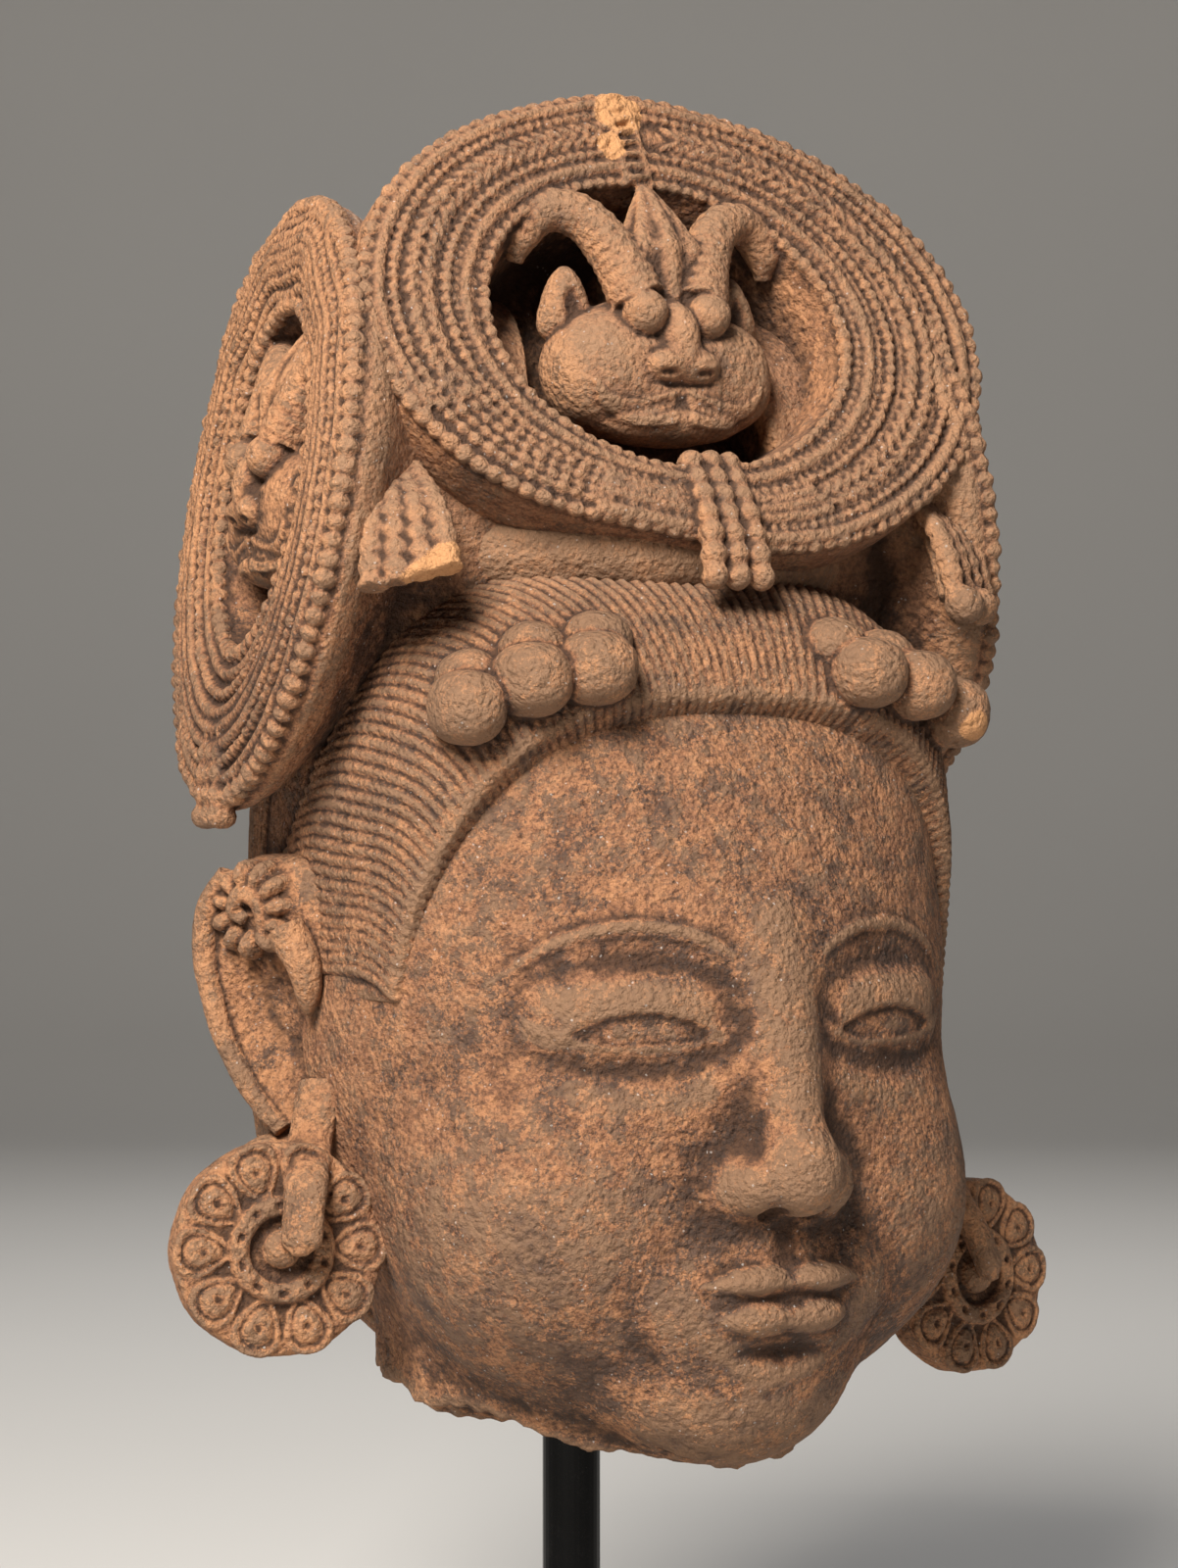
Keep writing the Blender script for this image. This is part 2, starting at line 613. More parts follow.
def outside_opening(p):
    """How far a point of the hair lies outside the opening for the face"""
    x, y, z = p[..., 0], p[..., 1], p[..., 2]
    level = (np.abs(x) / OPENING_WIDE) ** 3 + (np.abs(z - OPENING_MIDDLE) / OPENING_HIGH) ** 3
    over_arch = (level ** (1 / 3) - 1) * 90
    return np.maximum(np.minimum(over_arch, z - SIDEBURN_END), y + OPENING_BACK)


def with_edge(rays, over, beside):
    """How far out the cap lies: full height outside the opening, and under the face inside it"""
    under = reached(HAIR_CENTRE, rays, bare_face_distance, FURTHEST) - EDGE_SUNK
    return under + step(beside, -0.2, 0.7) * (over - under)


def hair_cap():
    across, down = int(520 * FINENESS), int(340 * FINENESS)
    points, faces = skin(HAIR_CENTRE, across, down, hair_distance, FURTHEST)
    rays = unit(points - xyz(*HAIR_CENTRE))
    over = np.linalg.norm(points - xyz(*HAIR_CENTRE), axis=-1)
    return xyz(*HAIR_CENTRE) + rays * with_edge(rays, over, outside_opening(points))[:, None], faces


def on_cap(points):
    """Points moved onto the cap or its edge, with how far outside the opening they lie"""
    rays = unit(points - xyz(*HAIR_CENTRE))
    over = reached(HAIR_CENTRE, rays, hair_distance, FURTHEST)
    beside = outside_opening(xyz(*HAIR_CENTRE) + rays * over[:, None])
    return xyz(*HAIR_CENTRE) + rays * (with_edge(rays, over, beside) - STRAND_SUNK)[:, None], beside


def hairline():
    """Evenly spaced points of the opening's arch, with how much its outward side faces up"""
    low = math.asin(((SIDEBURN_END - OPENING_MIDDLE) / OPENING_HIGH) ** 1.5)
    angle = np.linspace(math.pi - low, low, 800)
    x = OPENING_WIDE * np.sign(np.cos(angle)) * np.abs(np.cos(angle)) ** (2 / 3)
    z = OPENING_MIDDLE + OPENING_HIGH * np.abs(np.sin(angle)) ** (2 / 3)
    run = np.concatenate([[0], np.cumsum(np.hypot(np.diff(x), np.diff(z)))])
    at = np.arange(STRAND_PITCH / 2, run[-1], STRAND_PITCH)
    x, z = np.interp(at, run, x), np.interp(at, run, z)
    facing = unit(np.stack([np.sign(x) * x * x / OPENING_WIDE ** 3,
                            (z - OPENING_MIDDLE) ** 2 / OPENING_HIGH ** 3], -1))
    return x, z, facing[:, 1]


def front_strands():
    """Strands that rise from the hairline, sweep away from the parting and wave over the temples"""
    # Closely spaced points where the strand climbs the cap's edge, wider ones behind it
    t = np.concatenate([np.linspace(-0.4, 0.06, 70), np.linspace(0.09, 1, 32)])[:, None]
    lines = []
    for x, z, up in zip(*hairline()):
        side = 1 - up
        level = (abs(x) / HAIR_HALF[0]) ** HAIR_POWER + (abs(z - HAIR_CENTRE[2]) / HAIR_HALF[2]) ** HAIR_POWER
        start = xyz(x, HAIR_CENTRE[1] - HAIR_HALF[1] * max(1 - level, 0) ** (1 / HAIR_POWER), z)
        away = xyz(0.62 * x * up, 12, 0) * t ** 2
        along = xyz(0, 24 + 44 * side, 40 * up + 4 * side) * t
        wave = xyz(0, 0, side) * (26 * t - 30 * t ** 2 + 1.5 * np.sin(9 * t))
        line, beside = on_cap(start + along + away + wave)
        lines.append(line[np.argmax(beside > -0.15):])
    return lines


def back_strands():
    """Strands combed straight up the nape"""
    lines = []
    for turn in np.linspace(math.radians(14), math.radians(166), 72):
        z = np.linspace(34, 242, 60)
        sway = turn + 0.012 * np.sin(z / 13)
        rays = np.stack([np.cos(sway), np.sin(sway), 0 * z], -1)
        centre = np.stack([0 * z, 0 * z - 4, z], -1)
        far = np.full(len(z), 130.0)
        for _ in range(60):
            far = np.maximum(far - CAUTION * hair_distance(centre + rays * far[:, None]), 0.5)
        lines.append(centre + rays * (far - 0.5)[:, None])
    return lines


def curl(side, k):
    """One of the three round knobs that the locks end in over the hairline"""
    x, y, z = [(40, -89, 219), (57, -87, 216), (72, -81, 209)][k]
    fat = 10.2 - 0.6 * k
    return joined([lump((side * x, y, z), (fat, 12, 9.4), 2.3),
                   lump((side * (x - 5), y + 9, z + 7), (0.9 * fat, 11, 8))])


def hair():
    strands = grown(rib, front_strands(), Radius=STRAND_RADIUS * MM, Sides=8)
    combed = grown(rib, back_strands(), Radius=COMBED_RADIUS * MM, Sides=8)
    curls = [curl(side, k) for side in (-1, 1) for k in range(3)]
    return [hair_cap(), strands, combed, *curls]


# The crown
def lathe(rows, stretch, at, around=240, fine=120):
    """A round shell from rows of radius and height, drawn out to an oval"""
    rows = xyz(*rows).reshape(-1, 2)
    run = np.linspace(0, 1, len(rows))
    radius, height = (np.interp(np.linspace(0, 1, fine), run, rows[:, k])[:, None] for k in range(2))
    turn = 2 * np.pi * np.arange(around) / around
    x, y = stretch[0] * radius * np.cos(turn), stretch[1] * radius * np.sin(turn)
    return closed_shell(xyz(*at) + np.stack([x, y, height * np.ones(around)], -1))


def crown_core():
    """The core between the roundels, domed on top, with a plain collar round its foot"""
    dome = [(0, 225), (0.9, 225), (1, 240), (0.99, 260), (0.97, 280), (0.93, 305), (0.86, 325), (0.77, 340),
            (0.66, 352), (0.5, 360), (0.36, 364), (0.18, 366.5), (0, 367)]
    collar = [(0, 238), (1.02, 238), (1.13, 243), (1.17, 248), (1.17, 254), (1.12, 260), (0.9, 265), (0, 265)]
    return [clear_of_recesses(lathe(dome, (79, 64), (0, 3, 0), around=480, fine=300)),
            lathe(collar, (70, 62), (0, 2, 0))]


def clear_of_recesses(shell):
    """The shell pressed back out of the roundels' recesses"""
    points, faces = shell
    for oval in all_roundels():
        turn, at = oval["place"]
        local, along = before_opening(oval, points)
        floor = np.where(along < 1.25, -RECESS_DEEP - 3, np.inf)
        local[:, 2] = np.minimum(local[:, 2], floor)
        points = local @ turn.T + at
    return points, faces


def rear_boss():
    return placed(lump((0, 0, -10), (70, 62, 22), across=140, down=80), plane((0, 62, 300), 180, 14))


BUNDLE_TOP = 271


def bundle(side):
    """A bundle of four knuckled locks at the crown's front corner, the proper right one broken short"""
    whole = side > 0
    drop = 34 if whole else 30
    shells = []
    for k in (-1.5, -0.5, 0.5, 1.5):
        course = [(side * (77 + 2.4 * k), -50 + 2 * k, BUNDLE_TOP),
                  (side * (82 + 4.6 * k), -66 + 2.8 * k, BUNDLE_TOP - 0.4 * drop),
                  (side * (84 + 5.4 * k), -74 + 3.4 * k, BUNDLE_TOP - drop - (0 if whole else 1.5 * k))]
        knuckles = round(drop / 3.8)
        closing = 0.5 if whole else 0.0

        def thick(share, angle):
            ripple = 1 - 0.2 * np.cos(np.pi * (knuckles * share + 0.37 * k)) ** 2
            return 3.9 * (0.62 + 0.4 * share) * ripple * (1 - closing * share ** 8)
        shells.append(bar(course, thick, sides=24, steps=110))
    core = [(side * 74, -43, BUNDLE_TOP - 1), (side * 81, -58, BUNDLE_TOP - 13),
            (side * 83, -66, BUNDLE_TOP + 3 - drop)]
    if whole:
        shells += [lump((side * (84 + 5.4 * k), -75 + 3.4 * k, BUNDLE_TOP + 1 - drop), (5.4, 5.4, 5.2))
                   for k in (-1.2, 0.2)]
    return [*shells, bar(core, lambda share, angle: 4 + 2.5 * share, across=(side * 0.84, 0.54, 0), flat=0.5)]


# The crown's oval roundels, from the opening at 1 to the outer edge at 2
RECESS_DEEP = 30


def roundel(place, inner, outer, deep, offset, bulges):
    """An oval ring, with bulges and flats of its outer edge at given angles, each so wide and so high"""
    return {"place": place, "inner": inner, "outer": outer, "deep": deep, "offset": offset, "bulges": bulges}


FRONT_ROUNDEL = roundel(plane((5.5, -52, 311), 0, 22), (53, 42), (93.5, 69), 46, (-4.5, 0),
                        [(95, 13, 0.028), (252, 32, -0.1)])


def side_roundel(side):
    at = (-89.5 if side < 0 else 85.5, 1, 264)
    return roundel(plane(at, side * 96, 9), (35, 46), (68, 81.7), 52, (0, 7), [(90 - side * 38, 15, 0.06)])


def all_roundels():
    return FRONT_ROUNDEL, side_roundel(-1), side_roundel(1)


def before_opening(oval, points):
    """Points as seen in the roundel's own plane, and how far out they are as a share of its opening"""
    turn, at = oval["place"]
    local = (points - at) @ turn
    share = [(local[:, k] - oval["offset"][k]) / oval["inner"][k] for k in (0, 1)]
    return local, np.hypot(*share)


def oval_reach(half, angle):
    return half[0] * half[1] / np.hypot(half[1] * np.cos(angle), half[0] * np.sin(angle))


def on_oval(oval, along, angle, height):
    along, angle, height = np.broadcast_arrays(along, angle, height)
    edge = 1.0
    for middle, wide, high in oval["bulges"]:
        apart = (np.degrees(angle) - middle + 180) % 360 - 180
        edge = edge + high * np.exp(-(apart / wide) ** 2)
    inner, outer = (oval_reach(oval[ring], angle) for ring in ("inner", "outer"))
    radius = np.where(along <= 1, along * inner, inner + (along - 1) * (outer * edge - inner))
    slide, lift = (value * (2 - np.maximum(along, 1)) for value in oval["offset"])
    return np.stack([radius * np.cos(angle) + slide, radius * np.sin(angle) + lift, height], -1)


def roundel_blank(oval, crest, rim):
    """The roundel without its rows: the recess, the ring's face with a given crest, and the rim behind"""
    rows = [(0, -RECESS_DEEP), (0.8, -RECESS_DEEP), (0.87, -27), (0.95, -6), (0.985, -1), *crest, *rim,
            (rim[-1][0], -oval["deep"]), (0, -oval["deep"])]
    rows = xyz(*rows).reshape(-1, 2)
    run = np.concatenate([[0], np.cumsum(np.hypot(np.diff(rows[:, 0]) * 40, np.diff(rows[:, 1])))])
    at = np.linspace(0, run[-1], 190)
    along, height = (np.interp(at, run, rows[:, k])[:, None] for k in range(2))
    turn = 2 * np.pi * np.arange(360) / 360
    return closed_shell(on_oval(oval, along, turn, height))


def row(oval, along, height, start=0, end=360, wave=0.0):
    """The line of one row on a roundel's face, from one angle to another"""
    whole = end - start == 360
    angle = np.radians(np.linspace(start, end, int((end - start) / 1.5), endpoint=not whole))
    waved = along + wave * np.sin(11 * angle) * step(np.sin(angle), 0.2, 0.8)
    inner, outer = (oval_reach(oval[ring], angle) for ring in ("inner", "outer"))
    thick = (outer - inner) / max(oval["outer"][k] - oval["inner"][k] for k in (0, 1))
    return np.column_stack([on_oval(oval, waved, angle, height), thick])


def beads(lines, pitch, wide, high, closed=True, lean=0, long=None, uneven=0.1, seed=3):
    return grown(bead_row, lines, closed=closed, Spacing=pitch * MM, Length=(long or 1.08 * pitch) * MM,
                 Width=wide * MM, Height=high * MM, Lean=math.radians(lean), Unevenness=uneven, Seed=seed)


def ribs(lines, radius, closed=True):
    return grown(rib, lines, closed=closed, Radius=radius * MM, Sides=10)


def front_rows(oval):
    crest = [(1.0, 0.6), (1.04, 1.4), (1.12, 1.6), (1.24, 1.4), (1.34, 1.8), (1.42, 1.6), (1.54, 2.2),
             (1.66, 1.6), (1.75, 1.6), (1.86, 1.3), (1.95, 0.8), (1.985, -0.5)]
    fine = [(1.115, 1.2, 2.7, 2.2, 2.8), (1.26, 1.5, 2.7, 2.4, 2.8), (1.335, 2.0, 3.3, 3.3, 3.8)]
    rows = [
        roundel_blank(oval, crest, [(2, -4), (1.985, -14), (1.86, -30)]),
        beads([row(oval, 1.03, 1.3)], 3.9, 4.2, 4.4, seed=21),
        ribs([row(oval, 1.185, 1.4)], 2.0),
        *(beads([row(oval, along, height)], pitch, wide, high, seed=26 + i)
          for i, (along, height, pitch, wide, high) in enumerate(fine)),
        beads([row(oval, 1.955, 0.4)], 4.7, 4.8, 5.2, uneven=0.14, seed=24),
    ]
    bottom, tight, loose = (236, 304), (-56, 200), (197, 238)
    for low, high in (bottom, tight):
        rows.append(beads([row(oval, 1.745, 1.9, low, high)], 3.1, 3.2, 3.8, closed=False, seed=23))
        rows.append(ribs([row(oval, 1.86, 1.4, low, high)], 2.0, closed=False))
    rows.append(ribs([row(oval, along, height, *bottom) for along, height in (
        (1.43, 1.9), (1.53, 2), (1.64, 1.9))], 1.8, closed=False))
    for low, high in ((-54, 80), (100, 200)):
        for along, lean in ((1.487, 30), (1.6, -30)):
            rows.append(beads([row(oval, along, 2.3, low, high)], 4.1, 2.9, 3.4, closed=False, lean=lean,
                              long=7.6, uneven=0.08, seed=31))
        rows.append(ribs([row(oval, 1.412, 1.6, low, high), row(oval, 1.672, 1.6, low, high)], 0.9,
                         closed=False))
    for i, along in enumerate((1.44, 1.55, 1.67, 1.79)):
        rows.append(beads([row(oval, along, 1.7, *loose)], 3.6 + 0.2 * i, 3.8, 4.4, closed=False, uneven=0.16,
                          seed=35 + i))
    seam = [on_oval(oval, np.linspace(1.06, 1.93, 30), np.linspace(1.6, 1.69, 30), 2.2) + xyz(shift, 0, 0)
            for shift in (-3.4, 0, 3.4)]
    rows.append(ribs([seam[0], seam[2]], 1.3, closed=False))
    rows.append(beads([seam[1]], 3.4, 7.6, 4.4, closed=False, long=1.9, seed=29))
    return rows


def side_rows(oval, seed):
    crest = [(1.0, 1), (1.05, 3), (1.2, 3.6), (1.4, 5), (1.6, 5.4), (1.8, 4), (1.93, 3), (1.99, 0)]
    rows = [
        roundel_blank(oval, crest, [(2, -3), (1.92, -8), (1.7, -15), (1.46, -24)]),
        beads([row(oval, 1.04, 3)], 4.4, 5.4, 5.4, seed=seed),
        beads([row(oval, 1.3, 4.9, wave=0.05)], 3.4, 3.4, 4.4, seed=seed + 1),
        beads([row(oval, 1.74, 4.9, wave=0.05)], 3.4, 3.4, 4.4, seed=seed + 2),
        beads([row(oval, 1.955, 2.4)], 4.8, 6.4, 6.4, uneven=0.12, seed=seed + 3),
    ]
    rows += [ribs([row(oval, along, height, wave=0.05)], 2.0)
             for along, height in ((1.17, 3.6), (1.42, 5.4), (1.52, 5.6), (1.63, 5.4), (1.85, 3.8))]
    return rows


def tassel(top, drop):
    """Three knuckled strands that hang over the lower edge"""
    strands = [smooth_line([(5.6 * k, top + 4, 0), (6.2 * k, top - 0.5 * drop, 4),
                            (7 * k, top - drop, 3)], 40) for k in (-1, 0, 1)]
    slim = ribs(strands, 3, closed=False)
    return [slim, beads(strands, 5.2, 7, 8.4, closed=False, long=7, uneven=0.05, seed=41)]


def mask():
    """An animal mask: round cheeks, snout, grooved moustache, knobs, leaf ears, ridged horns and a flame"""
    def face(p):
        m = mirrored(p)
        d = ball(p, (0, 0, 0), (32, 20, 18))
        d = blend(d, ball(m, (15, -2, 4), (17.5, 15, 13), 2.3), 4)
        d = blend(d, ball(p, (0, -15, 7), (21, 6, 10)), 2)
        d = cut_away(d, ball(m, (0, -6, 20), (9, 1, 6)), 2)
        return cut_away(d, ball(m, (7, 8, 19), (6, 2, 5)), 3)

    def snout(p):
        m = mirrored(p)
        d = ball(p, (0, 5, 14), (6, 11, 8))
        d = blend(d, ball(m, (5.5, -1, 15.5), (6, 4.4, 6.5)), 3)
        return cut_away(d, ball(m, (5.4, -3.4, 22.5), (3, 1, 5)), 1)

    def horn(side):
        course = [(side * x, y, z) for x, y, z in
                  ((9.5, 17, 11), (13.5, 29, 7), (20, 39, 3), (29, 42, 0), (36.5, 36, -2), (38, 28, -4))]
        return bar(course, lambda share, angle: (7.6 - 3 * share) * (
            1 + 0.035 * np.cos(2 * np.pi * 17 * share)) * (1 - 0.5 * step(share, 0.88, 1)), sides=24,
            steps=130)

    def leaf_ear(side):
        root = (side * 25, 17, -1)

        def distance(p):
            lean = p - xyz(*root)
            pointed = np.stack([lean[..., 0] * (1 + 0.05 * lean[..., 1]), lean[..., 1], lean[..., 2]], -1)
            d = ball(pointed, (0, 0, 0), (7, 10.5, 6))
            return cut_away(d, ball(pointed, (0, -1, 7.5), (3.2, 5.6, 4)), 1.5)
        return skin(root, 60, 44, distance, 30)

    def flame_radius(share, angle):
        wide = np.where(share < 0.45, 6 + 14 * share, 12.3 - 21 * (share - 0.45))
        return wide * (1 + 0.1 * np.cos(8 * angle))
    flame = bar([(0, 11, 10), (0, 26, 7), (0, 40, 3), (0, 53, -2)], flame_radius, flat=0.7, sides=64,
                steps=60)
    rows = [smooth_line([(side * x, y - 1.7 * k, 0) for x, y in
                         ((2, -8), (9, -10), (17, -11.5), (23, -9.5), (26, -5.5))], 40)
            for side in (-1, 1) for k in range(5)]
    lain = []
    for line in rows:
        rays = unit(line + xyz(0, 0, 16))
        lain.append(rays * (reached((0, 0, 0), rays, face, 80) + 0.2)[:, None])
    moustache = ribs(lain, 0.8, closed=False)
    knobs = [lump((side * 9.5, 13, 15), (6, 6, 6.4)) for side in (-1, 1)]
    return [skin((0, 0, 0), 200, 150, face, 80), skin((0, 3, 15), 90, 70, snout, 40),
            lump((0, 13, 14), (3.4, 3.4, 4)), flame, moustache, *knobs, *both_sides(horn),
            *both_sides(leaf_ear)]


def front_roundel():
    oval = FRONT_ROUNDEL
    return [*in_place([*front_rows(oval), *tassel(-44, 30)], oval["place"]),
            *in_place(mask(), plane((2, -42, 300), 0, 4))]


def side_roundel_shells(side):
    oval = side_roundel(side)
    return [*in_place([*side_rows(oval, 60 + 10 * side), *tassel(-50, 34)], oval["place"]),
            *in_place(mask(), plane((side * 82, -8, 262), side * 96, 2))]


def face_and_neck():
    return [skin((0, -42, 116), int(700 * FINENESS), int(500 * FINENESS), head_distance, FURTHEST), *lips(),
            *both_sides(brow)]


def ears():
    return [shell for side in (-1, 1) for shell in (*ear(side), *ear_ring(side))]


# Working a group of shells into one weathered body
def weather(obj, name, size, depth):
    """Wears the surface in and out by cloudy noise of a given size"""
    texture = bpy.data.textures.new(name, "CLOUDS")
    texture.noise_scale = size * MM
    texture.noise_depth = 2
    worn = obj.modifiers.new(name, "DISPLACE")
    worn.texture = texture
    worn.texture_coords = "LOCAL"
    worn.strength = depth * MM
    worn.mid_level = 0.5


def pressed_in(mesh, places, reach, depth):
    """Sinks the surface round each place, as a drill or a chip does"""
    points, normals = read_mesh(mesh)[0] / MM, vertex_normals(mesh)
    for place in places:
        near = np.linalg.norm(points - place - xyz(0, 0, STONE_FOOT), axis=1) / reach
        points -= normals * (depth * np.clip(1 - near ** 2, 0, 1))[:, None]
    mesh.vertices.foreach_set("co", (points * MM).astype(np.float32).ravel())
    mesh.update()


def vertex_normals(mesh):
    normals = np.zeros(3 * len(mesh.vertices), np.float32)
    mesh.vertex_normals.foreach_get("vector", normals)
    return normals.reshape(-1, 3).astype(float)


def fused(name, shells, voxel, softening, most_faces):
    """One closed body from overlapping shells, softened and weathered, with few enough faces"""
    points, faces = joined(shells)
    obj = new_object(name, mesh_of(name, to_metres(points), faces))
    one = obj.modifiers.new("one_body", "REMESH")
    one.mode = "VOXEL"
    one.voxel_size = voxel * MM / FINENESS
    soft = obj.modifiers.new("softened", "SMOOTH")
    soft.factor, soft.iterations = 0.5, softening
    weather(obj, "hollows", 9, 0.7)
    weather(obj, "pitting", 1.8, 0.3)
    mesh = applied(obj)
    faces_now = 2 * len(mesh.polygons)
    if faces_now > most_faces:
        fewer = obj.modifiers.new("fewer_faces", "DECIMATE")
        fewer.ratio = most_faces / faces_now
        fewer.use_collapse_triangulate = True
        mesh = applied(obj)
    mesh.shade_smooth()
    return obj


def neighbours(mesh):
    edges = np.zeros(2 * len(mesh.edges), np.int32)
    mesh.edges.foreach_get("vertices", edges)
    a, b = edges.reshape(-1, 2).T
    count = len(mesh.vertices)
    share = np.maximum(np.bincount(a, minlength=count) + np.bincount(b, minlength=count), 1)

    def around(values):
        return (np.bincount(a, values[b], count) + np.bincount(b, values[a], count)) / share
    return around


def add_value(mesh, name, values):
    mesh.attributes.new(name, "FLOAT", "POINT").data.foreach_set("value", values.astype(np.float32))


# Fresh breaks: the place on the drawing, and how far the pale stone reaches
FRESH_BREAKS = [
    ((-76, -81, 242), 12), ((-81, -78, 239), 10), ((-82, -80, 246), 5),
    ((73, -94, 204), 8), ((-2, -30, 371), 10), ((-6, -34, 361), 6),
    ((-46, -88, 300), 4), ((-38, -98, 268), 4), ((30, -105, 262), 5), ((46, -99, 268), 5),
    ((75, -83, 285), 4), ((18, -84, 16), 8), ((24, -78, 18), 6), ((-60, -40, 19), 7), ((-112, 0, 262), 7),
    ((-108, 4, 300), 6), ((-110, -30, 250), 5), ((-27, -104, 262), 4), ((58, -86, 32), 3),
]


def sooted(local, normals):
    """How dark the dirt is: on undersides below the crown, and down in the roundels' recesses"""
    soot = 0.5 * step(-normals[:, 2], 0.1, 0.7) * step(local[:, 2], 236, 200)
    for oval in all_roundels():
        seen, along = before_opening(oval, local)
        soot = np.maximum(soot, 1.6 * step(-seen[:, 2], 4, 22) * step(along, 1.05, 0.99))
    return soot


def mark_wear(obj):
    """Values over the surface that the stone's finish reads"""
    mesh = obj.data
    around = neighbours(mesh)
    points, normals = read_mesh(mesh)[0], vertex_normals(mesh)
    smooth = points.copy()
    offsets = []
    for rounds in (4, 14):
        for _ in range(rounds):
            smooth = np.stack([around(smooth[:, k]) for k in range(3)], -1)
        offsets.append(((smooth - points) * normals).sum(1) / MM)
    local = points / MM - xyz(0, 0, STONE_FOOT)
    x, y, z = local.T
    add_value(mesh, "hollow", np.clip(offsets[0] / 0.14 + offsets[1] / 0.75 + sooted(
        local, normals), -2, 2) / 2)
    fresh = np.zeros(len(points))
    for place, reach in FRESH_BREAKS:
        fresh = np.maximum(fresh, 1 - (np.linalg.norm(local - xyz(*place), axis=1) / reach) ** 2)
    add_value(mesh, "fresh", np.clip(fresh, 0, 1))
    crown = step(z, 232, 250)
    front = crown * step(-y, 20, 60) * step(normals[:, 1], 0.2, -0.5)
    side = crown * step(np.abs(normals[:, 0]), 0.5, 0.85)
    low = step(z, 60, 10) + step(np.abs(x), 84, 92) * step(z, 175, 160)
    add_value(mesh, "dusty", np.clip(0.25 + 0.6 * front + 0.5 * crown * normals[:, 2] - 0.3 * side, 0, 1))
    add_value(mesh, "ochre", np.clip(0.4 + 0.45 * side + 0.25 * low - 0.25 * front, 0, 1))
    face = step(np.abs(x), 92, 80) * step(-y, 20, 60) * (1 - crown)
    add_value(mesh, "slate", np.clip(0.46 + 0.1 * face + 0.12 * face * step(z, 110, 50) - 0.2 * side, 0, 1))


# Finishes
def shader_group(name, given, made):
    tree = bpy.data.node_groups.new(name, "ShaderNodeTree")
    for socket, value in given.items():
        kind = "NodeSocketVector" if value is None else "NodeSocketFloat"
        added = tree.interface.new_socket(socket, in_out="INPUT", socket_type=kind)
        if value is not None:
            added.default_value = value
    for socket in made:
        tree.interface.new_socket(socket, in_out="OUTPUT", socket_type="NodeSocketFloat")
    return Tree(tree), tree.nodes.new("NodeGroupInput").outputs


def close_group(work, made):
    node = work.tree.nodes.new("NodeGroupOutput")
    for name, value in made.items():
        work.feed(node, name, value)
    return work.tree


def smooth_step(work, value, low, high):
    return work.add("ShaderNodeMapRange", ("interpolation_type", "SMOOTHSTEP"), ("Value", value),
                    ("From Min", low), ("From Max", high))


def noise(work, place, scale, detail=3.0, rough=0.55):
    return work.add("ShaderNodeTexNoise", Vector=place, Scale=scale, Detail=detail, Roughness=rough)


def patches_group():
    """Ragged patches: broad ones broken up by finer ones. More of the surface is covered as Amount grows."""
    sizes = {"Place": None, "Scale": 60.0, "Amount": 0.5, "Edge": 0.04}
    work, given = shader_group("patches", sizes, ["Mask"])
    broad = noise(work, given["Place"], given["Scale"], 3.0)
    middle = noise(work, given["Place"], work.math("MULTIPLY", given["Scale"], 4.3), 4.0, 0.6)
    fine = noise(work, given["Place"], work.math("MULTIPLY", given["Scale"], 15.0), 3.0, 0.7)
    height = work.math("ADD", work.math("MULTIPLY", broad, 0.36), work.math("ADD", work.math(
        "MULTIPLY", middle, 0.27), work.math("MULTIPLY", fine, 0.37)))
    level = work.math("SUBTRACT", 0.64, work.math("MULTIPLY", given["Amount"], 0.28))
    mask = smooth_step(work, height, work.math("SUBTRACT", level, given["Edge"]),
                       work.math("ADD", level, given["Edge"]))
    return close_group(work, {"Mask": mask})


def grain_group():
    """A fine pitted grain, with a few bright crystals"""
    work, given = shader_group("grain", {"Place": None, "Size": 0.0011}, ["Height", "Crystals"])
    scale = work.math("DIVIDE", 1.0, given["Size"])
    grit = noise(work, given["Place"], scale, 3.0, 0.65)
    lumps = noise(work, given["Place"], work.math("MULTIPLY", scale, 0.36), 4.0, 0.6)
    pits = work.add("ShaderNodeTexVoronoi", ("feature", "SMOOTH_F1"), Vector=given["Place"],
                    Scale=work.math("MULTIPLY", scale, 0.55))
    height = work.math("ADD", work.math("MULTIPLY", grit, 0.6), work.math("ADD", lumps, work.math(
        "MULTIPLY", pits, 0.7)))
    cells = work.add("ShaderNodeTexVoronoi", Vector=given["Place"], Scale=work.math("MULTIPLY", scale, 1.9),
                     out=1)
    chance = work.add("ShaderNodeSeparateColor", Color=cells)
    return close_group(work, {"Height": height, "Crystals": smooth_step(work, chance, 0.995, 0.999)})


def mixed(work, share, a, b):
    colours = [value if isinstance(value, bpy.types.NodeSocket) else (*value, 1) for value in (a, b)]
    return work.add("ShaderNodeMix", ("data_type", "RGBA"), (0, share), (6, colours[0]),
                    (7, colours[1]), out=2)


def group_node(work, tree, out=0, **given):
    node = work.tree.nodes.new("ShaderNodeGroup")
    node.node_tree = tree
    for name, value in given.items():
        work.feed(node, name, value)
    return node.outputs if out is None else node.outputs[out]


def new_material(name):
    material = bpy.data.materials.new(name)
    material.use_nodes = True
    material.node_tree.nodes.clear()
    work = Tree(material.node_tree)
    return material, work, work.add("ShaderNodeTexCoord", out=3)


def finish_material(work, **sockets):
    shader = work.add("ShaderNodeBsdfPrincipled")
    for name, value in sockets.items():
        work.feed(shader.node, name.replace("_", " "), value)
    work.add("ShaderNodeOutputMaterial", Surface=shader)


def value_of(work, name):
    return work.add("ShaderNodeAttribute", ("attribute_name", name), out=2)


